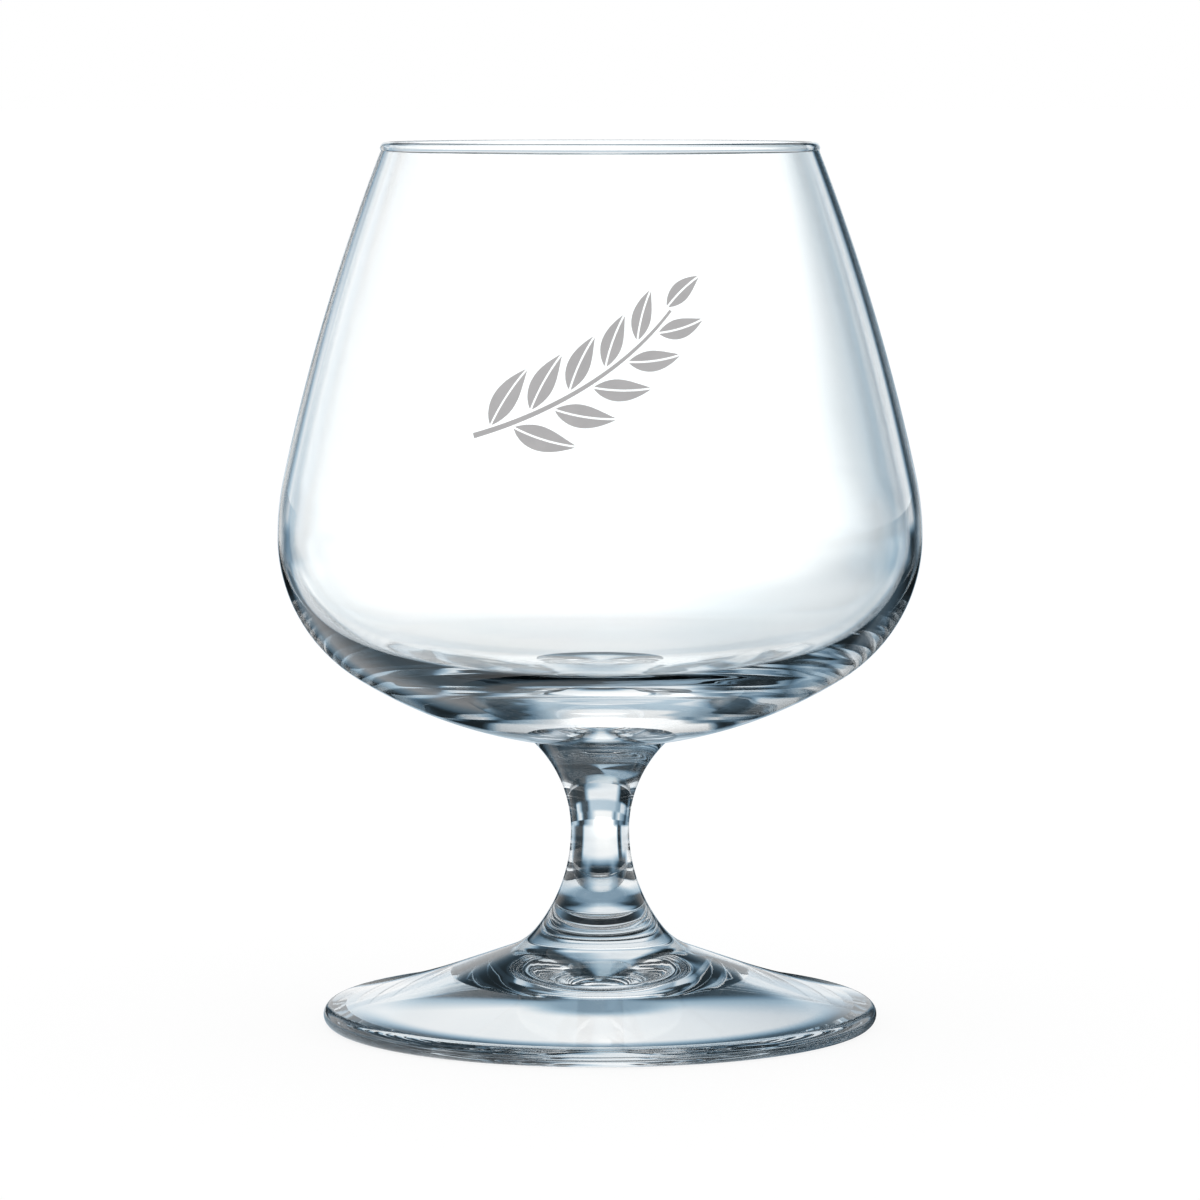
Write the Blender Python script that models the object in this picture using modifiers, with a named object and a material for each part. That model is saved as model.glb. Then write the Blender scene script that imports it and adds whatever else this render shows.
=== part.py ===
"""Stemmed tasting glass for liqueur: a tapering bowl, a waisted stem and a domed foot, all turned about Z.

Metres, +Z up. The origin is the centre of the plane that the foot stands on.
"""

import math

import bpy
from mathutils import Vector

# Overall sizes, measured from the plane that the foot stands on
GLASS_HEIGHT = 0.0950
BOWL_BASE_HEIGHT = 0.0302
FUSED_JOINT_HEIGHT = 0.0165

# Outside of the bowl
BELLY_RADIUS = 0.0346
DOME_RADIUS = 0.0493
LOWER_SHOULDER_RADIUS = 0.0177
UPPER_SHOULDER_RADIUS = 0.0308
SIDE_LEAN = math.radians(12.3)

# Rim of the bowl, with its melted bead
RIM_RADIUS = 0.0235
RIM_LEAN = math.radians(21.5)
RIM_WALL = 0.00080
BEAD_RADIUS = 0.00062

# Inside of the bowl
BELLY_WALL = 0.0013
FLOOR_THICKNESS = 0.0060
FLOOR_RADIUS = 0.0900

# Stem
WAIST_RADIUS = 0.00314
STEM_TOP_RADIUS = 0.0074
LOWER_FLARE_RADIUS = 0.0172
LOWER_FLARE_TURN = math.radians(38.0)

# Foot
FOOT_RADIUS = 0.0299
FOOT_EDGE_RADIUS = 0.0011
FOOT_FILLET_RADIUS = 0.0071
CONE_SLOPE = math.radians(20.0)
CONE_RADIUS = 0.0165
CONE_HEIGHT = 0.0057
SKIRT_END_SLOPE = math.radians(12.0)
REST_RING_WIDTH = 0.0018
HOLLOW_START_SLOPE = math.radians(16.0)
HOLLOW_END_SLOPE = math.radians(20.0)
KICK_RADIUS = 0.0155
KICK_SLOPE = math.radians(10.0)

# Space left between two pieces where they are fused
FUSED_GAP = 0.0003

# Fineness of the turned surfaces
TURN_STEPS = 48
CHORD_ERROR = 0.00004
MERGE_DISTANCE = 0.00001


def point(radius, height):
    return Vector((radius, height))


def along(angle):
    """Unit vector at an angle above the outward direction."""
    return Vector((math.cos(angle), math.sin(angle)))


def arc(centre, radius, start_angle, end_angle):
    """Points of a circular arc, both ends included, close enough to stay within the chord error."""
    turn = end_angle - start_angle
    longest_step = 2.0 * math.acos(1.0 - CHORD_ERROR / radius)
    steps = math.ceil(abs(turn) / longest_step)
    return [centre + radius * along(start_angle + turn * i / steps) for i in range(steps + 1)]


def arc_leaving(start, direction, end):
    """Points of the arc, or of the straight line, that leaves start along direction and reaches end."""
    chord = end - start
    across = Vector((-direction.y, direction.x))
    half_turn = math.asin(chord.normalized().dot(across))
    if chord.length * abs(half_turn) < CHORD_ERROR:
        return [start, end]
    radius = chord.length / (2.0 * math.sin(half_turn))
    centre = start + radius * across
    start_angle = math.atan2(start.y - centre.y, start.x - centre.x)
    return arc(centre, abs(radius), start_angle, start_angle + 2.0 * half_turn)


def joined(*stretches):
    """One outline from stretches that each start where the last one ended."""
    outline = list(stretches[0])
    for stretch in stretches[1:]:
        outline.extend(stretch[1:])
    return outline


def dome_centre_height():
    return BOWL_BASE_HEIGHT + DOME_RADIUS


def belly_height():
    """Height where the shoulder, which runs into the dome, stands upright."""
    across = BELLY_RADIUS - LOWER_SHOULDER_RADIUS
    reach = DOME_RADIUS - LOWER_SHOULDER_RADIUS
    return dome_centre_height() - math.sqrt(reach**2 - across**2)


def bowl_underneath(belly_radius, shoulder_radius, pole_height, cap_radius):
    """From the belly down the shoulder, then along a shallow cap to the axis."""
    shoulder = point(belly_radius - shoulder_radius, belly_height())
    cap = point(0.0, pole_height + cap_radius)
    meeting = math.atan2(shoulder.y - cap.y, shoulder.x)
    return joined(
        arc(shoulder, shoulder_radius, 0.0, meeting),
        arc(cap, cap_radius, meeting, math.radians(-90.0)),
    )


def bowl_side(belly_radius, shoulder_radius, rim_point):
    """From the belly up the shoulder, then up the long side to the rim."""
    shoulder = point(belly_radius - shoulder_radius, belly_height())
    turn_in = arc(shoulder, shoulder_radius, 0.0, SIDE_LEAN)
    return joined(turn_in, arc_leaving(turn_in[-1], along(math.radians(90.0) + SIDE_LEAN), rim_point))


def bowl_profile():
    """Inside from the floor's centre to the rim, over the bead and down the outside."""
    bead = point(RIM_RADIUS - BEAD_RADIUS, GLASS_HEIGHT - BEAD_RADIUS)
    wall_end = math.asin(RIM_WALL / (2.0 * BEAD_RADIUS))
    down_the_wall = math.radians(-90.0) + RIM_LEAN
    outer_end = down_the_wall + wall_end
    inner_end = down_the_wall - wall_end + math.radians(360.0)
    bead_arc = arc(bead, BEAD_RADIUS, inner_end, outer_end)

    floor_height = BOWL_BASE_HEIGHT + FLOOR_THICKNESS
    inner_radius = BELLY_RADIUS - BELLY_WALL
    to_belly = floor_height + FLOOR_RADIUS - belly_height()
    spare = FLOOR_RADIUS**2 - inner_radius**2 - to_belly**2
    inner_shoulder = spare / (2.0 * (FLOOR_RADIUS - inner_radius))
    inside = joined(
        bowl_underneath(inner_radius, inner_shoulder, floor_height, FLOOR_RADIUS)[::-1],
        bowl_side(inner_radius, UPPER_SHOULDER_RADIUS - BELLY_WALL, bead_arc[0]),
    )
    outside = joined(
        bowl_side(BELLY_RADIUS, UPPER_SHOULDER_RADIUS, bead_arc[-1])[::-1],
        bowl_underneath(BELLY_RADIUS, LOWER_SHOULDER_RADIUS, BOWL_BASE_HEIGHT, DOME_RADIUS),
    )
    return joined(inside, bead_arc, outside)


def fillet_end():
    """Where the fillet under the stem runs out into the foot's cone."""
    flare_reach = LOWER_FLARE_RADIUS * (1.0 - math.cos(LOWER_FLARE_TURN))
    fillet_reach = FOOT_FILLET_RADIUS * (math.cos(LOWER_FLARE_TURN) - math.sin(CONE_SLOPE))
    radius = WAIST_RADIUS + flare_reach + fillet_reach
    return point(radius, CONE_HEIGHT + (CONE_RADIUS - radius) * math.tan(CONE_SLOPE))


def waist_height():
    """Height of the stem's narrowest place, from the arcs that stand on the foot's cone."""
    fillet_drop = FOOT_FILLET_RADIUS * (math.cos(CONE_SLOPE) - math.sin(LOWER_FLARE_TURN))
    return fillet_end().y + fillet_drop + LOWER_FLARE_RADIUS * math.sin(LOWER_FLARE_TURN)


def lower_flare_centre():
    return point(WAIST_RADIUS + LOWER_FLARE_RADIUS, waist_height())


def flare_angle(height):
    """Angle round the lower flare's centre at a height below the waist."""
    return math.radians(180.0) + math.asin((waist_height() - height) / LOWER_FLARE_RADIUS)


def stem_profile():
    """A cupped seat under the bowl's dome, in to the waist and out to the fused joint."""
    seat_centre = point(0.0, dome_centre_height())
    seat_radius = DOME_RADIUS + FUSED_GAP
    seat_end = -math.acos(STEM_TOP_RADIUS / seat_radius)
    seat = arc(seat_centre, seat_radius, math.radians(-90.0), seat_end)
    waist = point(WAIST_RADIUS, waist_height())
    upper_flare = arc_leaving(waist, along(math.radians(90.0)), seat[-1])[::-1]
    bottom = FUSED_JOINT_HEIGHT + FUSED_GAP / 2.0
    lower_flare = arc(lower_flare_centre(), LOWER_FLARE_RADIUS, math.radians(180.0), flare_angle(bottom))
    return joined(seat, upper_flare, lower_flare) + [point(0.0, bottom)]


def hollow_underside(ring_inner):
    """From the standing ring up a slope that runs along with the skirt, then a shallow kick."""
    mean_slope = (HOLLOW_START_SLOPE + HOLLOW_END_SLOPE) / 2.0
    kick_edge = point(KICK_RADIUS, (ring_inner.x - KICK_RADIUS) * math.tan(mean_slope))
    slope = arc_leaving(ring_inner, along(math.radians(180.0) - HOLLOW_START_SLOPE), kick_edge)
    sphere = KICK_RADIUS / math.sin(KICK_SLOPE)
    centre = point(0.0, kick_edge.y - sphere * math.cos(KICK_SLOPE))
    return joined(slope, arc(centre, sphere, math.radians(90.0) - KICK_SLOPE, math.radians(90.0)))


def foot_profile():
    """A short post under the joint, the flare and cone, the rounded edge and the hollow underside."""
    post_top = FUSED_JOINT_HEIGHT - FUSED_GAP / 2.0
    flare_end = math.radians(180.0) + LOWER_FLARE_TURN
    flare = arc(lower_flare_centre(), LOWER_FLARE_RADIUS, flare_angle(post_top), flare_end)
    fillet_centre = fillet_end() + FOOT_FILLET_RADIUS * along(math.radians(90.0) - CONE_SLOPE)
    fillet = arc(fillet_centre, FOOT_FILLET_RADIUS, flare_end, math.radians(270.0) - CONE_SLOPE)
    edge_centre = point(FOOT_RADIUS - FOOT_EDGE_RADIUS, FOOT_EDGE_RADIUS)
    edge = arc(edge_centre, FOOT_EDGE_RADIUS, math.radians(90.0) - SKIRT_END_SLOPE, math.radians(-90.0))
    skirt = arc_leaving(point(CONE_RADIUS, CONE_HEIGHT), along(-CONE_SLOPE), edge[0])
    ring_inner = point(edge_centre.x - REST_RING_WIDTH, 0.0)
    underside = hollow_underside(ring_inner)
    return [point(0.0, post_top)] + joined(flare, fillet) + joined(skirt, edge) + underside


def clear_glass(name, colour, roughness):
    material = bpy.data.materials.new(name)
    material.use_nodes = True
    shader = material.node_tree.nodes["Principled BSDF"]
    shader.inputs["Base Color"].default_value = (*colour, 1.0)
    shader.inputs["Roughness"].default_value = roughness
    shader.inputs["Metallic"].default_value = 0.0
    shader.inputs["IOR"].default_value = 1.5
    shader.inputs["Transmission Weight"].default_value = 1.0
    return material


def turned(name, profile, material, collection):
    """A closed solid made by turning a profile about Z."""
    mesh = bpy.data.meshes.new(name)
    corners = [(corner.x, 0.0, corner.y) for corner in profile]
    for end in (0, -1):
        corners[end] = (0.0, 0.0, corners[end][2])
    mesh.from_pydata(corners, [(i, i + 1) for i in range(len(corners) - 1)], [])
    mesh.materials.append(material)
    piece = bpy.data.objects.new(name, mesh)
    collection.objects.link(piece)
    lathe = piece.modifiers.new("turning", "SCREW")
    lathe.axis = "Z"
    lathe.steps = TURN_STEPS
    lathe.render_steps = TURN_STEPS
    lathe.use_merge_vertices = True
    lathe.merge_threshold = MERGE_DISTANCE
    lathe.use_smooth_shade = True
    return piece


def clear_scene():
    for left_over in list(bpy.data.objects):
        bpy.data.objects.remove(left_over, do_unlink=True)


def main():
    clear_scene()
    collection = bpy.data.collections.new("tasting_glass")
    bpy.context.scene.collection.children.link(collection)
    turned("bowl", bowl_profile(), clear_glass("bowl_glass", (0.97, 0.98, 0.98), 0.0), collection)
    turned("stem", stem_profile(), clear_glass("stem_glass", (0.95, 0.97, 0.97), 0.0), collection)
    turned("foot", foot_profile(), clear_glass("foot_glass", (0.95, 0.97, 0.98), 0.02), collection)


main()
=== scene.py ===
"""Looks of the stemmed tasting glass: clear glass in three fused pieces on a white studio table."""

import math

import bmesh
import bpy
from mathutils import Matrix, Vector


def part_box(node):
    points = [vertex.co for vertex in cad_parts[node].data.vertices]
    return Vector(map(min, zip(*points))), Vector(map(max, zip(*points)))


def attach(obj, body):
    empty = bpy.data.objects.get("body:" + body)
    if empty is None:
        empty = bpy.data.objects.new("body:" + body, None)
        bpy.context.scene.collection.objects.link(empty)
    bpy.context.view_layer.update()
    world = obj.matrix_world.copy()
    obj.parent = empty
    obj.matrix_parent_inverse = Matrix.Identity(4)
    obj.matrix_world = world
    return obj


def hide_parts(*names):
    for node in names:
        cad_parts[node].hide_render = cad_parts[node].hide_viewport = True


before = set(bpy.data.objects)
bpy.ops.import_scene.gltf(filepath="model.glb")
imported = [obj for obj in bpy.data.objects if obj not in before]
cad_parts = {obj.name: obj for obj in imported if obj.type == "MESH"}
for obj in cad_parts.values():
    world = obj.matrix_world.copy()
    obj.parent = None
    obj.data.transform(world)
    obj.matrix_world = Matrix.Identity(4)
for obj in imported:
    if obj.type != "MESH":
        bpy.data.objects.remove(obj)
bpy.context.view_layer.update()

BOWL_LOW, BOWL_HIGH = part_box("bowl")
STEM_LOW, STEM_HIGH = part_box("stem")
FOOT_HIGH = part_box("foot")[1]

QUARTER = math.radians(90.0)

# Sizes that the solids give
GLASS_HEIGHT = BOWL_HIGH.z
BELLY_RADIUS = BOWL_HIGH.x
BOWL_BASE_HEIGHT = BOWL_LOW.z
STEM_TOP_RADIUS = STEM_HIGH.x
JOINT_HEIGHT = (STEM_LOW.z + FOOT_HIGH.z) / 2.0
FOOT_RADIUS = FOOT_HIGH.x

# Radii and walls of the bowl
DOME_RADIUS = 0.0493
LOWER_SHOULDER_RADIUS = 0.0177
UPPER_SHOULDER_RADIUS = 0.0308
SIDE_LEAN = math.radians(12.3)
RIM_RADIUS = 0.0235
RIM_LEAN = math.radians(21.5)
RIM_WALL = 0.00080
BEAD_RADIUS = 0.00062
BELLY_WALL = 0.0013
FLOOR_THICKNESS = 0.0060
FLOOR_RADIUS = 0.0900

# Radii and slopes of the stem and the foot
WAIST_RADIUS = 0.00314
LOWER_FLARE_RADIUS = 0.0172
LOWER_FLARE_TURN = math.radians(38.0)
FOOT_EDGE_RADIUS = 0.0011
FOOT_FILLET_RADIUS = 0.0071
CONE_SLOPE = math.radians(20.0)
CONE_RADIUS = 0.0165
CONE_HEIGHT = 0.0057
SKIRT_END_SLOPE = math.radians(12.0)
REST_RING_WIDTH = 0.0018
HOLLOW_START_SLOPE = math.radians(16.0)
HOLLOW_END_SLOPE = math.radians(20.0)
KICK_RADIUS = 0.0155
KICK_SLOPE = math.radians(10.0)

# Chill ripples left by the mould: depth, length of a wave, and the heights between which they lie
FLARE_RIPPLES = (0.0000015, 0.00110, 0.0085, 0.0130)
FLOOR_RIPPLES = (0.000004, 0.0036, 0.0363, 0.0395)

# Sprig of leaves printed in grey on the front of the bowl
PRINT_ACROSS = -0.0003
PRINT_HEIGHT = 0.0725
INK_THICKNESS = 0.00003
INK_CLEARANCE = 0.000006
INK_ROWS = 3
STALK_START = Vector((-0.0122, -0.0071))
STALK_END = Vector((0.0080, 0.0056))
STALK_SLOPE = math.radians(17.0)
STALK_WIDTH = 0.00056
STALK_TAPER = 0.5
STALK_STEPS = 72
LEAF_PAIRS = 5
FIRST_LEAF_SHARE = 0.08
LEAFY_SHARE = 0.90
LEAF_LENGTH = 0.0068
TIP_LEAF_LENGTH = 0.0052
LEAF_SLENDERNESS = 0.37
LEAF_SPREAD = math.radians(50.0)
SPREAD_LOSS = 0.25
LEAF_CURL = math.radians(20.0)
CURL_DELAY = 1.25
LEAF_GAP = 0.00022
VEIN_WIDTH = 0.00020
LEAF_STEPS = 28

# Fineness of the turned glass
TURN_STEPS = 192
CHORD_ERROR = 0.0000006
RIPPLE_CHORD_ERROR = 0.00000006
WELD_DISTANCE = 0.0000005
SHARP_ANGLE = math.radians(7.0)

# Places of the two finishes in a glass piece's list of materials
GLASS = 0
FUSED = 1

# Tints of the glass, a little deeper in the cords of the melt, and the faint haze on patches of its skin
GLASS_TINTS = ((0.35, (0.965, 0.985, 0.985)), (0.65, (0.985, 0.992, 0.992)))
HAZE_PATCHES = (0.50, 0.80)
HAZE_ROUGHNESS = 0.02

# Greys of the printed ink, and its roughness, which both change a little from place to place
INK_GREYS = ((0.30, (0.435, 0.428, 0.432)), (0.70, (0.475, 0.466, 0.470)))
INK_ROUGHNESS = 0.50
INK_UNEVENNESS = 0.15

# How many times light may bend in glass, be mirrored and cross a fused joint
GLASS_BOUNCES = 64
MIRROR_BOUNCES = 32
JOINT_BOUNCES = 32

# Camera, as it stood for the photograph
CAMERA_DISTANCE = 0.613
CAMERA_HEIGHT = 0.1014
CAMERA_TILT = math.radians(5.178)
SENSOR_WIDTH = 36.0
IMAGE_SIDE = 1200
FOCAL_PIXELS = 5722.0

# White paper of the table, which lies just under the foot and glows by itself
TABLE_HALF_WIDTH = 20.0
TABLE_DROP = 0.00005
PAPER_COLOUR = (0.97, 0.97, 0.97, 1.0)
GLOW_STRENGTH = 1.02
GLOW_SHARE = 0.85

# Slate where the studio is dark, blue-grey in between, white on the lit paper
STUDIO_TONES = (
    (0.0, (0.012, 0.017, 0.020)),
    (0.12, (0.052, 0.088, 0.120)),
    (0.25, (0.140, 0.232, 0.320)),
    (0.55, (0.42, 0.55, 0.65)),
    (1.0, (1.0, 1.0, 1.0)),
)

# Painted light and shade that the table glows with where the glass shows it through, from the stem outwards,
# with a painted shadow under and round the foot.
# Each pair of a ring is a bearing, in degrees to the right of straight back, and the level there.
UNDER_STEM = 0.35
UNDER_FOOT = (
    (-180, 1.0), (-100, 1.0), (-66, 0.45), (-52, 0.0), (-22, 0.0), (-7, 0.85), (2, 0.9), (10, 0.4),
    (20, 0.0), (46, 0.0), (70, 0.5), (110, 0.85), (180, 1.0),
)
# Painted shadow: a dark ring on the table near the foot's edge, lighter at a few bearings
FOOT_SHADE = (
    (-180, 0.0), (-130, 0.02), (-82, 0.75), (-65, 1.0), (-55, 1.0), (-40, 0.05), (-24, 0.0), (-15, 0.25),
    (-9, 0.0), (8, 0.0), (14, 0.25), (26, 0.0), (46, 0.0), (60, 0.75), (70, 0.85), (82, 0.05), (180, 0.0),
)
NEAR_TABLE = (
    (-180, 0.9), (-60, 0.9), (-36, 0.82), (-32, 0.05), (-27, 0.0), (-24, 0.95), (-10, 1.0), (2, 0.97),
    (8, 0.9), (22, 0.82), (26, 0.0), (42, 0.0), (56, 0.5), (90, 0.9), (180, 0.9),
)
FAR_TABLE = (
    (-180, 0.5), (-100, 0.9), (-80, 0.9), (-60, 0.5), (-44, 0.05), (-32, 0.3), (-28, 0.15), (-22, 0.36),
    (-17.5, 1.0), (6, 1.0), (12, 0.74), (22, 0.2), (24, 0.03), (31, 0.0), (44, 0.65), (60, 0.5), (110, 0.5),
    (120, 1.0), (150, 1.0), (180, 0.5),
)
HORIZON = (
    (-180, 0.05), (-120, 0.05), (-96, 0.85), (-86, 0.85), (-66, 0.2), (-58, 0.4), (-46, 0.08), (-31, 0.55),
    (-28, 0.9), (-20, 0.25), (-14.5, 1.0), (5, 1.0), (14, 0.3), (19, 0.03), (23.5, 0.1), (28, 0.9),
    (33, 0.8), (39, 0.1), (44, 0.0), (180, 0.1),
)

# Each ring with the distances from the stem, in metres, over which it takes over from the one inside it
RINGS = (
    (UNDER_FOOT, 0.004, 0.010),
    (FOOT_SHADE, 0.023, 0.027),
    (NEAR_TABLE, 0.036, 0.060),
    (FAR_TABLE, 0.20, 0.35),
    (HORIZON, 0.7, 1.3),
)

# How white the room looks through the glass, from the horizon upwards
PANELS = (
    (-180, 0.0), (-78, 0.0), (-56, 0.6), (-48, 0.15), (-38, 0.75), (-31, 0.8), (-28, 0.35), (-22, 0.45),
    (-19, 0.6), (11, 0.6), (16, 0.05), (24, 0.08), (30, 0.72), (35, 0.8), (38, 0.05), (180, 0.0),
)
LOW_SKY = (
    (-180, 0.0), (-66, 0.0), (-57, 0.28), (-48, 0.0), (-27, 0.0), (-19, 0.9), (12, 0.9), (19, 0.0),
    (180, 0.0),
)
UPPER_LIGHT = (
    (-180, 0.0), (-26, 0.0), (-19, 0.9), (-3, 0.8), (9, 0.45), (14, 0.35), (20, 0.0), (180, 0.0),
)
TOP_LIGHT = (
    (-180, 0.04), (-168, 0.08), (-155, 0.4), (-108, 0.4), (-80, 0.02), (-50, 0.02), (-30, 0.5), (2, 0.5),
    (24, 0.02), (180, 0.04),
)

# Each band with the heights, in degrees, over which it takes over from the one below it
BANDS = (
    (PANELS, 2.5, 4.5),
    (LOW_SKY, 9.0, 12.0),
    (UPPER_LIGHT, 16.0, 22.0),
    (TOP_LIGHT, 35.0, 46.0),
)

# How white the table and the room look where the outside of the glass mirrors them; on the table this is
# painted light and shade
MIRRORED_TABLE = (
    (-180, 0.95), (-135, 0.95), (-80, 0.5), (-54, 0.95), (-48, 0.95), (-28.5, 0.0), (-15.5, 0.0),
    (-12, 0.62), (12, 0.48), (16, 0.0), (35, 0.0), (56, 0.38), (65, 0.0), (120, 0.05), (165, 0.95),
    (180, 0.95),
)
MIRRORED_LOW = (
    (-180, 0.55), (-60, 0.95), (-32, 0.95), (-24, 0.0), (-13.5, 0.0), (-9, 1.0), (7, 1.0), (15, 0.1),
    (26, 0.0), (33, 0.9), (46, 0.95), (80, 0.55), (180, 0.5),
)
MIRRORED_HIGH = (
    (-180, 0.3), (-130, 0.2), (-78, 0.95), (-27, 1.0), (-20, 0.05), (-14, 0.1), (-12, 0.95), (10, 0.9),
    (16, 0.05), (25, 0.0), (30, 0.97), (72, 0.85), (110, 0.3), (180, 0.3),
)
MIRRORED_BANDS = ((MIRRORED_HIGH, 2.0, 5.0),)

# Heights, in degrees, over which the mirrored room fades, and the share of its level that it loses
MIRRORED_FADE = (14.0, 26.0)
MIRRORED_LOSS = 0.7

# Painted backlight: extra glow of the paper where the glass shows it through, with the levels and the
# distances from the stem over which it comes in
BACKLIGHT = 0.35
BACKLIT_LEVELS = (0.8, 1.0)
BACKLIT_DISTANCES = (0.07, 0.19)


class Value:
    """A node's output, on which maths can be written as an expression."""

    def __init__(self, nodes, socket):
        self.nodes = nodes
        self.socket = socket

    def __add__(self, other):
        return self.nodes.maths("ADD", self, other)

    def __sub__(self, other):
        return self.nodes.maths("SUBTRACT", self, other)

    def __rsub__(self, other):
        return self.nodes.maths("SUBTRACT", other, self)

    def __mul__(self, other):
        return self.nodes.maths("MULTIPLY", self, other)

    __radd__ = __add__
    __rmul__ = __mul__


class Nodes:
    """One node tree, started empty."""

    def __init__(self, tree):
        self.tree = tree
        tree.nodes.clear()

    def add(self, kind, settings, inputs, output=0):
        """A node with its settings made first, then the values or links of its sockets; gives one output."""
        node = self.tree.nodes.new(kind)
        for name, setting in settings.items():
            if name == "stops":
                self.set_stops(node.color_ramp, setting)
            else:
                setattr(node, name, setting)
        for name, given in inputs.items():
            if isinstance(given, Value):
                self.tree.links.new(given.socket, node.inputs[name])
            else:
                node.inputs[name].default_value = given
        return Value(self, node.outputs[output] if len(node.outputs) else None)

    def set_stops(self, ramp, stops):
        while len(ramp.elements) < len(stops):
            ramp.elements.new(1.0)
        for element, (position, colour) in zip(ramp.elements, stops):
            element.position = position
            element.color = (*colour, 1.0)

    def maths(self, operation, *values):
        return self.add("ShaderNodeMath", {"operation": operation}, dict(enumerate(values)))

    def split(self, vector):
        node = self.add("ShaderNodeSeparateXYZ", {}, {0: vector}).socket.node
        return [Value(self, socket) for socket in node.outputs]


def between(start, end, share):
    """What lies at a share of the way from start to end."""
    return start + (end - start) * share


def new_material(name):
    material = bpy.data.materials.new(name)
    material.use_nodes = True
    return material, Nodes(material.node_tree)


def noise(nodes, place, scale, detail, roughness):
    inputs = {"Vector": place, "Scale": scale, "Detail": detail, "Roughness": roughness}
    return nodes.add("ShaderNodeTexNoise", {}, inputs)


def smooth(nodes, value, low, high):
    """0 below low, 1 above high, with a soft change between."""
    return nodes.add(
        "ShaderNodeMapRange",
        {"interpolation_type": "SMOOTHSTEP"},
        {"Value": value, "From Min": low, "From Max": high, "To Min": 0.0, "To Max": 1.0},
    )


def bearing(nodes, x, y):
    """Degrees to the right of straight back."""
    return nodes.maths("ARCTAN2", x, y) * math.degrees(1.0)


def round_glass(nodes, turn, stops):
    """A level that changes with the bearing, from stops in degrees."""
    placed = [(0.5 + degrees / 360.0, (level, level, level)) for degrees, level in stops]
    ramp = nodes.add("ShaderNodeValToRGB", {"stops": placed}, {0: turn * (1.0 / 360.0) + 0.5})
    return nodes.split(ramp)[0]


def layered(nodes, turn, level, layers, run):
    """The level, over which one layer after another comes in as a distance or a height grows."""
    for stops, start, end in layers:
        level = between(level, round_glass(nodes, turn, stops), smooth(nodes, run, start, end))
    return level


def studio_colour(nodes, light):
    return nodes.add("ShaderNodeValToRGB", {"stops": STUDIO_TONES}, {0: light})


def glow(nodes, colour, strength):
    return nodes.add("ShaderNodeEmission", {}, {"Color": colour, "Strength": strength})


def clear_glass(name):
    """Clear glass with a breath of colour, the polish of a melted skin and very slight waves."""
    material, nodes = new_material(name)
    place = nodes.add("ShaderNodeTexCoord", {}, {}, "Object")
    cords = noise(nodes, place, scale=70.0, detail=2.0, roughness=0.5)
    skin = noise(nodes, place, scale=240.0, detail=3.0, roughness=0.6)
    colour = nodes.add("ShaderNodeValToRGB", {"stops": GLASS_TINTS}, {0: cords})
    waves = nodes.add("ShaderNodeBump", {}, {"Strength": 0.06, "Distance": 0.00004, "Height": cords})
    shader = nodes.add(
        "ShaderNodeBsdfPrincipled",
        {},
        {
            "Base Color": colour,
            "Roughness": smooth(nodes, skin, *HAZE_PATCHES) * HAZE_ROUGHNESS,
            "IOR": 1.5,
            "Transmission Weight": 1.0,
            "Normal": waves,
        },
    )
    nodes.add("ShaderNodeOutputMaterial", {}, {"Surface": shader})
    return material


def fused_joint():
    """Where two pieces have melted together, light goes straight on."""
    material, nodes = new_material("fused_joint")
    shader = nodes.add("ShaderNodeBsdfPrincipled", {}, {"Base Color": (0.97, 0.98, 0.98, 1.0), "Alpha": 0.0})
    nodes.add("ShaderNodeOutputMaterial", {}, {"Surface": shader})
    return material


def printing_ink():
    """Grey screen-printed ink: a little uneven in its density, with the fine tooth of the mesh."""
    material, nodes = new_material("printing_ink")
    place = nodes.add("ShaderNodeTexCoord", {}, {}, "Object")
    density = noise(nodes, place, scale=420.0, detail=4.0, roughness=0.6)
    tooth = noise(nodes, place, scale=9000.0, detail=1.0, roughness=0.5)
    colour = nodes.add("ShaderNodeValToRGB", {"stops": INK_GREYS}, {0: density})
    grain = nodes.add("ShaderNodeBump", {}, {"Strength": 0.25, "Distance": 0.000015, "Height": tooth})
    roughness = INK_ROUGHNESS + density * INK_UNEVENNESS
    shader = nodes.add(
        "ShaderNodeBsdfPrincipled",
        {},
        {"Base Color": colour, "Roughness": roughness, "IOR": 1.45, "Normal": grain},
    )
    nodes.add("ShaderNodeOutputMaterial", {}, {"Surface": shader})
    return material


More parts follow.
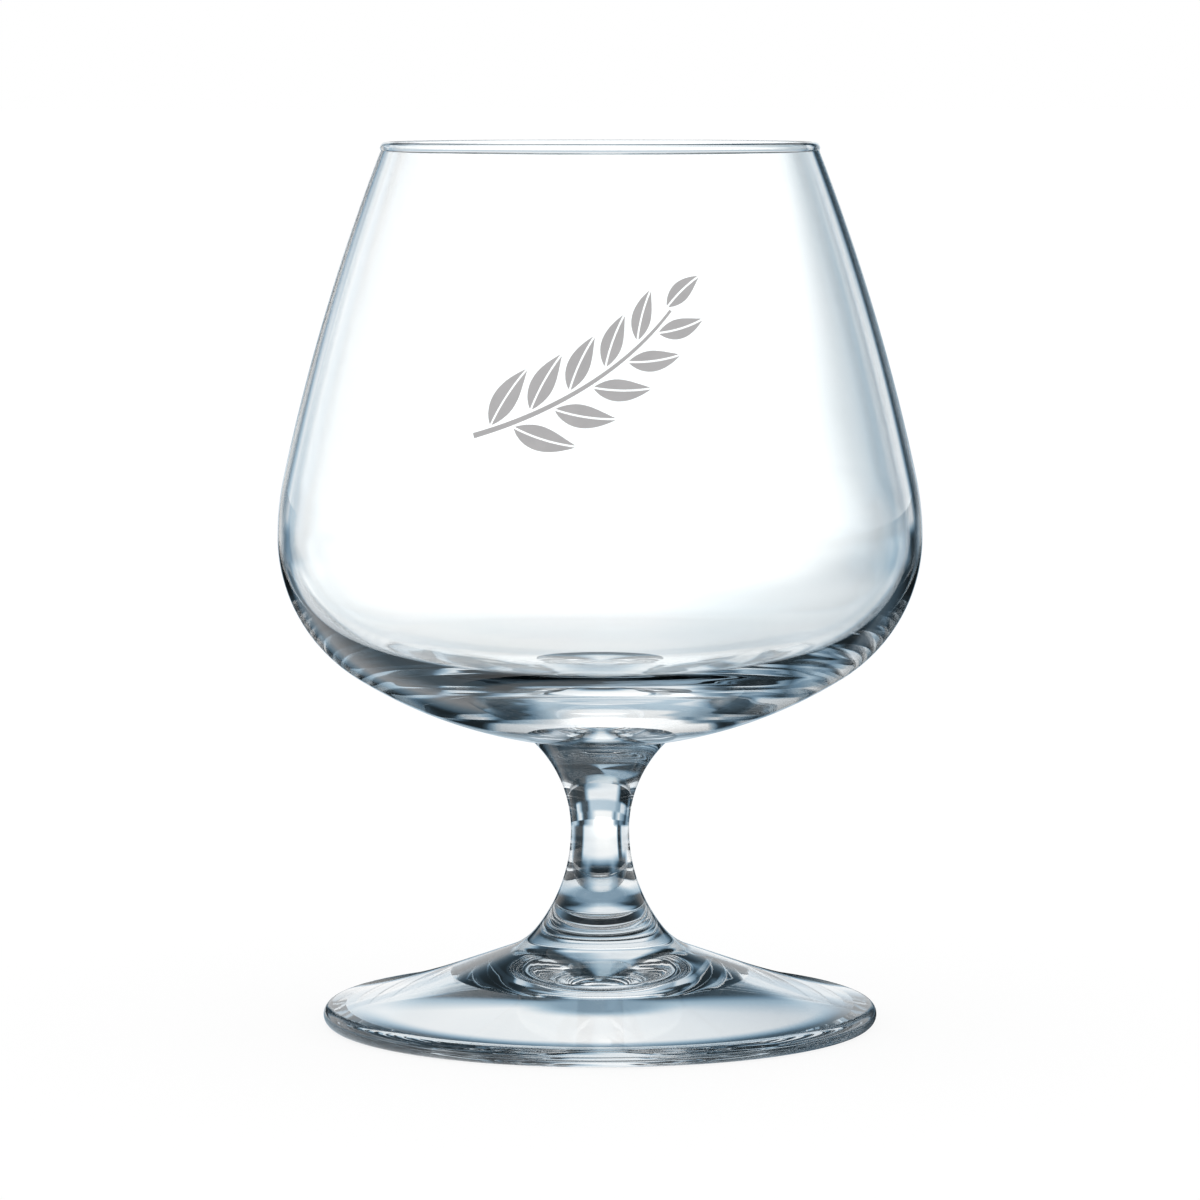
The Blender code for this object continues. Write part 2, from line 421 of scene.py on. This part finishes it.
def table_paper():
    """White paper: plain by itself, and painted with a studio's light and shade where the glass shows it."""
    material, nodes = new_material("white_table")
    place = nodes.add("ShaderNodeTexCoord", {}, {}, "Object")
    x, y = nodes.split(place)[:2]
    turn = bearing(nodes, x, y)
    away = nodes.maths("SQRT", x * x + y * y)
    light = layered(nodes, turn, UNDER_STEM, RINGS, away)
    painted_backlight = smooth(nodes, light, *BACKLIT_LEVELS) * smooth(nodes, away, *BACKLIT_DISTANCES)
    # Painted light and shade: where the glass shows the paper through or mirrors it, the paper glows with
    # studio levels, painted shadow and a painted backlight
    through = glow(nodes, studio_colour(nodes, light), 1.0 + BACKLIGHT * painted_backlight)
    mirrored = glow(nodes, studio_colour(nodes, round_glass(nodes, turn, MIRRORED_TABLE)), 1.0)
    lit = nodes.add("ShaderNodeBsdfDiffuse", {}, {"Color": PAPER_COLOUR})
    white = glow(nodes, (1.0, 1.0, 1.0, 1.0), GLOW_STRENGTH)
    plain = nodes.add("ShaderNodeMixShader", {}, {0: GLOW_SHARE, 1: lit, 2: white})
    seen_mirrored = nodes.add("ShaderNodeLightPath", {}, {}, "Is Glossy Ray")
    seen_through = nodes.add("ShaderNodeLightPath", {}, {}, "Is Transmission Ray")
    surface = nodes.add("ShaderNodeMixShader", {}, {0: seen_mirrored, 1: plain, 2: mirrored})
    surface = nodes.add("ShaderNodeMixShader", {}, {0: seen_through, 1: surface, 2: through})
    nodes.add("ShaderNodeOutputMaterial", {}, {"Surface": surface})
    return material


def point(radius, height):
    return Vector((radius, height))


def along(angle):
    return Vector((math.cos(angle), math.sin(angle)))


def arc(centre, radius, start_angle, end_angle, chord_error=CHORD_ERROR):
    """Points on an arc, close enough that no chord strays from it by more than the error."""
    turn = end_angle - start_angle
    steps = math.ceil(abs(turn) / (2.0 * math.acos(1.0 - chord_error / radius)))
    return [centre + radius * along(start_angle + turn * i / steps) for i in range(steps + 1)]


def arc_leaving(start, direction, end):
    """The arc that leaves start in a direction and reaches end."""
    chord = end - start
    across = Vector((-direction.y, direction.x))
    half_turn = math.asin(chord.normalized().dot(across))
    radius = chord.length / (2.0 * math.sin(half_turn))
    centre = start + radius * across
    start_angle = math.atan2(start.y - centre.y, start.x - centre.x)
    return arc(centre, abs(radius), start_angle, start_angle + 2.0 * half_turn)


def joined(*stretches):
    """One outline from stretches of which each starts where the last one ended."""
    outline = list(stretches[0])
    for stretch in stretches[1:]:
        outline.extend(stretch[1:])
    return outline


def rippled(outline, depth, wave, low, high):
    """The outline with shallow waves that fade out towards two heights."""
    waved = list(outline)
    run = 0.0
    for i in range(1, len(outline) - 1):
        here = outline[i]
        run += (here - outline[i - 1]).length
        share = (here.y - low) / (high - low)
        if 0.0 < share < 1.0:
            ahead = (outline[i + 1] - outline[i - 1]).normalized()
            swell = depth * math.sin(math.pi * share) * math.sin(2.0 * math.pi * run / wave)
            waved[i] = here + swell * Vector((-ahead.y, ahead.x))
    return waved


DOME_CENTRE = point(0.0, BOWL_BASE_HEIGHT + DOME_RADIUS)
BELLY_HEIGHT = DOME_CENTRE.y - math.sqrt(
    (DOME_RADIUS - LOWER_SHOULDER_RADIUS) ** 2 - (BELLY_RADIUS - LOWER_SHOULDER_RADIUS) ** 2
)
SEAT_ANGLE = -math.acos(STEM_TOP_RADIUS / DOME_RADIUS)


def bowl_underneath(belly_radius, shoulder_radius, pole_height, cap_radius, cap_end, cap_error=CHORD_ERROR):
    """From the belly down round the lower shoulder and along a cap, for either side of the wall."""
    shoulder = point(belly_radius - shoulder_radius, BELLY_HEIGHT)
    cap = point(0.0, pole_height + cap_radius)
    meeting = math.atan2(shoulder.y - cap.y, shoulder.x)
    return joined(
        arc(shoulder, shoulder_radius, 0.0, meeting),
        arc(cap, cap_radius, meeting, cap_end, cap_error),
    )


def bowl_side(belly_radius, shoulder_radius, rim_point):
    """From the belly up to the rim, for either side of the wall."""
    shoulder = point(belly_radius - shoulder_radius, BELLY_HEIGHT)
    turn_in = arc(shoulder, shoulder_radius, 0.0, SIDE_LEAN)
    return joined(turn_in, arc_leaving(turn_in[-1], along(QUARTER + SIDE_LEAN), rim_point))


def fused_seat():
    """The part of the dome that the bowl and the stem share."""
    return arc(DOME_CENTRE, DOME_RADIUS, SEAT_ANGLE, -QUARTER)


def rim_bead():
    """From the inner wall over the melted rim to the outer wall."""
    bead = point(RIM_RADIUS - BEAD_RADIUS, GLASS_HEIGHT - BEAD_RADIUS)
    wall_end = math.asin(RIM_WALL / (2.0 * BEAD_RADIUS))
    down_the_wall = RIM_LEAN - QUARTER
    return arc(bead, BEAD_RADIUS, down_the_wall - wall_end + 4.0 * QUARTER, down_the_wall + wall_end)


def outer_side():
    return bowl_side(BELLY_RADIUS, UPPER_SHOULDER_RADIUS, rim_bead()[-1])


def bowl_stretches():
    """From the middle of the floor up the inside, over the rim and down to the seat."""
    bead_arc = rim_bead()
    floor_height = BOWL_BASE_HEIGHT + FLOOR_THICKNESS
    inner_radius = BELLY_RADIUS - BELLY_WALL
    to_belly = floor_height + FLOOR_RADIUS - BELLY_HEIGHT
    inner_shoulder = (FLOOR_RADIUS**2 - inner_radius**2 - to_belly**2) / (2.0 * (FLOOR_RADIUS - inner_radius))
    floor = bowl_underneath(
        inner_radius, inner_shoulder, floor_height, FLOOR_RADIUS, -QUARTER, RIPPLE_CHORD_ERROR
    )[::-1]
    inside = joined(
        rippled(floor, *FLOOR_RIPPLES),
        bowl_side(inner_radius, UPPER_SHOULDER_RADIUS - BELLY_WALL, bead_arc[0]),
    )
    outside = joined(
        outer_side()[::-1],
        bowl_underneath(BELLY_RADIUS, LOWER_SHOULDER_RADIUS, BOWL_BASE_HEIGHT, DOME_RADIUS, SEAT_ANGLE),
    )
    return [(joined(inside, bead_arc, outside), GLASS), (fused_seat(), FUSED)]


FILLET_RADIUS_OUT = (
    WAIST_RADIUS
    + LOWER_FLARE_RADIUS * (1.0 - math.cos(LOWER_FLARE_TURN))
    + FOOT_FILLET_RADIUS * (math.cos(LOWER_FLARE_TURN) - math.sin(CONE_SLOPE))
)
FILLET_END = point(FILLET_RADIUS_OUT, CONE_HEIGHT + (CONE_RADIUS - FILLET_RADIUS_OUT) * math.tan(CONE_SLOPE))
WAIST_HEIGHT = (
    FILLET_END.y
    + FOOT_FILLET_RADIUS * (math.cos(CONE_SLOPE) - math.sin(LOWER_FLARE_TURN))
    + LOWER_FLARE_RADIUS * math.sin(LOWER_FLARE_TURN)
)
LOWER_FLARE_CENTRE = point(WAIST_RADIUS + LOWER_FLARE_RADIUS, WAIST_HEIGHT)
JOINT_ANGLE = 2.0 * QUARTER + math.asin((WAIST_HEIGHT - JOINT_HEIGHT) / LOWER_FLARE_RADIUS)


def stem_stretches():
    """From the middle of the seat out to its edge, down past the waist and in along the joint."""
    seat = fused_seat()[::-1]
    waist = point(WAIST_RADIUS, WAIST_HEIGHT)
    upper_flare = arc_leaving(waist, along(QUARTER), seat[-1])[::-1]
    lower_flare = arc(LOWER_FLARE_CENTRE, LOWER_FLARE_RADIUS, 2.0 * QUARTER, JOINT_ANGLE)
    joint = [lower_flare[-1], point(0.0, JOINT_HEIGHT)]
    return [(seat, FUSED), (joined(upper_flare, lower_flare), GLASS), (joint, FUSED)]


def foot_stretches():
    """From the middle of the joint out, down to the edge and back in along the hollow underside."""
    flare_end = 2.0 * QUARTER + LOWER_FLARE_TURN
    flare = arc(LOWER_FLARE_CENTRE, LOWER_FLARE_RADIUS, JOINT_ANGLE, flare_end, RIPPLE_CHORD_ERROR)
    fillet_centre = FILLET_END + FOOT_FILLET_RADIUS * along(QUARTER - CONE_SLOPE)
    fillet = arc(fillet_centre, FOOT_FILLET_RADIUS, flare_end, 3.0 * QUARTER - CONE_SLOPE, RIPPLE_CHORD_ERROR)
    under_the_stem = rippled(joined(flare, fillet), *FLARE_RIPPLES)
    edge_centre = point(FOOT_RADIUS - FOOT_EDGE_RADIUS, FOOT_EDGE_RADIUS)
    edge = arc(edge_centre, FOOT_EDGE_RADIUS, QUARTER - SKIRT_END_SLOPE, -QUARTER)
    skirt = arc_leaving(point(CONE_RADIUS, CONE_HEIGHT), along(-CONE_SLOPE), edge[0])
    ring_inner = point(edge_centre.x - REST_RING_WIDTH, 0.0)
    hollow_slope = (HOLLOW_START_SLOPE + HOLLOW_END_SLOPE) / 2.0
    kick_edge = point(KICK_RADIUS, (ring_inner.x - KICK_RADIUS) * math.tan(hollow_slope))
    hollow = arc_leaving(ring_inner, along(2.0 * QUARTER - HOLLOW_START_SLOPE), kick_edge)
    kick_sphere = KICK_RADIUS / math.sin(KICK_SLOPE)
    kick_centre = point(0.0, kick_edge.y - kick_sphere * math.cos(KICK_SLOPE))
    kick = arc(kick_centre, kick_sphere, QUARTER - KICK_SLOPE, QUARTER)
    joint = [point(0.0, JOINT_HEIGHT), flare[0]]
    return [(joint, FUSED), (under_the_stem + joined(skirt, edge) + joined(hollow, kick), GLASS)]


def weld(shape):
    bmesh.ops.remove_doubles(shape, verts=shape.verts, dist=WELD_DISTANCE)
    bmesh.ops.dissolve_degenerate(shape, edges=shape.edges, dist=WELD_DISTANCE)


def finished(name, shape, materials):
    """The shape as an object in the scene, with its materials."""
    mesh = bpy.data.meshes.new(name)
    shape.to_mesh(mesh)
    shape.free()
    for material in materials:
        mesh.materials.append(material)
    piece = bpy.data.objects.new(name, mesh)
    bpy.context.scene.collection.objects.link(piece)
    return piece


def turned(name, stretches, materials):
    """A closed piece of glass from stretches of its outline, each with its own finish."""
    shape = bmesh.new()
    for outline, finish in stretches:
        made = set(shape.faces)
        corners = [shape.verts.new((max(corner.x, 0.0), 0.0, corner.y)) for corner in outline]
        sides = [shape.edges.new(pair) for pair in zip(corners, corners[1:])]
        bmesh.ops.spin(
            shape, geom=corners + sides, cent=(0, 0, 0), axis=(0, 0, 1), dvec=(0, 0, 0),
            angle=4.0 * QUARTER, steps=TURN_STEPS, use_merge=True, use_normal_flip=False, use_duplicate=False,
        )
        for face in shape.faces:
            if face not in made:
                face.material_index = finish
    weld(shape)
    bmesh.ops.recalc_face_normals(shape, faces=shape.faces)
    piece = finished(name, shape, materials)
    piece.data.shade_smooth()
    piece.data.set_sharp_from_angle(angle=SHARP_ANGLE)
    return piece


def ink_patch(shape, steps, place):
    """A patch of ink: place says where each point goes, by its shares along and across the patch."""
    grid = bmesh.ops.create_grid(shape, x_segments=steps, y_segments=INK_ROWS, size=1.0)
    for corner in grid["verts"]:
        spot = place((corner.co.x + 1.0) / 2.0, (corner.co.y + 1.0) / 2.0)
        corner.co = (spot.x, spot.y, INK_CLEARANCE)


def stalk_place(share):
    """Point and direction on the sprig's stalk, an arc that leaves its start at the stalk's slope."""
    chord = STALK_END - STALK_START
    half_turn = math.atan2(chord.y, chord.x) - STALK_SLOPE
    radius = chord.length / (2.0 * math.sin(half_turn))
    direction = STALK_SLOPE + 2.0 * half_turn * share
    start_across = along(STALK_SLOPE - QUARTER)
    return STALK_START + radius * (along(direction - QUARTER) - start_across), direction


def add_stalk(shape):
    """The stalk, which tapers towards its tip."""

    def place(share, across):
        spot, direction = stalk_place(share)
        width = STALK_WIDTH * (1.0 - STALK_TAPER * share)
        return spot + width * (across - 0.5) * along(direction + QUARTER)

    ink_patch(shape, STALK_STEPS, place)


def add_leaf(shape, share, side, length, spread):
    """Two halves of a pointed leaf, with a bare vein between them."""
    foot, direction = stalk_place(share)
    foot = foot + side * (STALK_WIDTH / 2.0 + LEAF_GAP) * along(direction + QUARTER)
    heading = direction + side * spread
    curl = -side * LEAF_CURL
    radius = length / curl
    half_width = LEAF_SLENDERNESS * length / 2.0
    end = math.asin(VEIN_WIDTH / 2.0 / half_width) / math.pi
    for half in (-1.0, 1.0):

        def place(run, across):
            swell = end + (1.0 - 2.0 * end) * run
            turned_to = heading + curl * swell**CURL_DELAY
            spot = foot + radius * (along(turned_to - QUARTER) - along(heading - QUARTER))
            reach = half_width * math.sin(math.pi * swell)
            offset = between(VEIN_WIDTH / 2.0, reach, across)
            return spot + half * offset * along(turned_to + QUARTER)

        ink_patch(shape, LEAF_STEPS, place)


def outside_radius(side, height):
    """Radius of the bowl's outer side at a height."""
    for lower, upper in zip(side, side[1:]):
        if upper.y >= height:
            return between(lower.x, upper.x, (height - lower.y) / (upper.y - lower.y))


def build_print():
    """The grey sprig, a film of ink that lies on the front of the bowl."""
    shape = bmesh.new()
    add_stalk(shape)
    leaves = 2 * LEAF_PAIRS
    for i in range(leaves):
        share = i / leaves
        length = between(LEAF_LENGTH, TIP_LEAF_LENGTH, share)
        spread = LEAF_SPREAD * (1.0 - SPREAD_LOSS * share)
        add_leaf(shape, FIRST_LEAF_SHARE + LEAFY_SHARE * share, (-1.0) ** i, length, spread)
    add_leaf(shape, share=1.0, side=1.0, length=TIP_LEAF_LENGTH, spread=0.0)
    weld(shape)
    raised = bmesh.ops.extrude_face_region(shape, geom=list(shape.faces))["geom"]
    top = [corner for corner in raised if isinstance(corner, bmesh.types.BMVert)]
    bmesh.ops.translate(shape, verts=top, vec=(0.0, 0.0, INK_THICKNESS))
    side = outer_side()
    middle_radius = outside_radius(side, PRINT_HEIGHT)
    for corner in shape.verts:
        height = PRINT_HEIGHT + corner.co.y
        radius = outside_radius(side, height) + corner.co.z
        turn = (PRINT_ACROSS + corner.co.x) / middle_radius
        corner.co = (radius * math.sin(turn), -radius * math.cos(turn), height)
    bmesh.ops.recalc_face_normals(shape, faces=shape.faces)
    piece = finished("printed_sprig", shape, [printing_ink()])
    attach(piece, "root")


def build_glass():
    """The bowl, the stem and the foot, each in place of its solid."""
    fused = fused_joint()
    outlines = {"bowl": bowl_stretches(), "stem": stem_stretches(), "foot": foot_stretches()}
    for name, stretches in outlines.items():
        piece = turned("glass_" + name, stretches, [clear_glass(name + "_glass"), fused])
        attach(piece, "root")
        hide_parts(name)
        name + "_glass"


def build_floor():
    shape = bmesh.new()
    bmesh.ops.create_grid(shape, x_segments=1, y_segments=1, size=TABLE_HALF_WIDTH)
    bmesh.ops.translate(shape, verts=shape.verts, vec=(0.0, 0.0, -TABLE_DROP))
    floor = finished("white_table", shape, [table_paper()])


def build_world():
    """The room: white by itself, and panelled like a studio where the glass shows it."""
    world = bpy.data.worlds.new("studio")
    world.use_nodes = True
    nodes = Nodes(world.node_tree)
    direction = nodes.add("ShaderNodeTexCoord", {}, {}, "Generated")
    x, y, z = nodes.split(direction)
    turn = bearing(nodes, x, y)
    rise = nodes.maths("ARCSINE", z) * math.degrees(1.0)
    through = layered(nodes, turn, round_glass(nodes, turn, HORIZON), BANDS, rise)
    mirrored = layered(nodes, turn, round_glass(nodes, turn, MIRRORED_LOW), MIRRORED_BANDS, rise)
    mirrored = mirrored * (1.0 - MIRRORED_LOSS * smooth(nodes, rise, *MIRRORED_FADE))
    seen_mirrored = nodes.add("ShaderNodeLightPath", {}, {}, "Is Glossy Ray")
    seen_through = nodes.add("ShaderNodeLightPath", {}, {}, "Is Transmission Ray")
    light = between(between(1.0, mirrored, seen_mirrored), through, seen_through)
    colour = studio_colour(nodes, light)
    background = nodes.add("ShaderNodeBackground", {}, {"Color": colour, "Strength": 1.0})
    nodes.add("ShaderNodeOutputWorld", {}, {"Surface": background})
    bpy.context.scene.world = world


def build_camera():
    data = bpy.data.cameras.new("camera")
    data.sensor_width = SENSOR_WIDTH
    data.lens = SENSOR_WIDTH * FOCAL_PIXELS / IMAGE_SIDE
    camera = bpy.data.objects.new("camera", data)
    camera.location = (0.0, -CAMERA_DISTANCE, CAMERA_HEIGHT)
    camera.rotation_euler = (QUARTER - CAMERA_TILT, 0.0, 0.0)
    bpy.context.scene.collection.objects.link(camera)
    bpy.context.scene.camera = camera


def main():
    scene = bpy.context.scene
    scene.view_settings.view_transform = "Standard"
    scene.cycles.max_bounces = GLASS_BOUNCES
    scene.cycles.glossy_bounces = MIRROR_BOUNCES
    scene.cycles.transmission_bounces = GLASS_BOUNCES
    scene.cycles.transparent_max_bounces = JOINT_BOUNCES
    build_glass()
    build_print()
    build_floor()
    build_world()
    build_camera()


main()
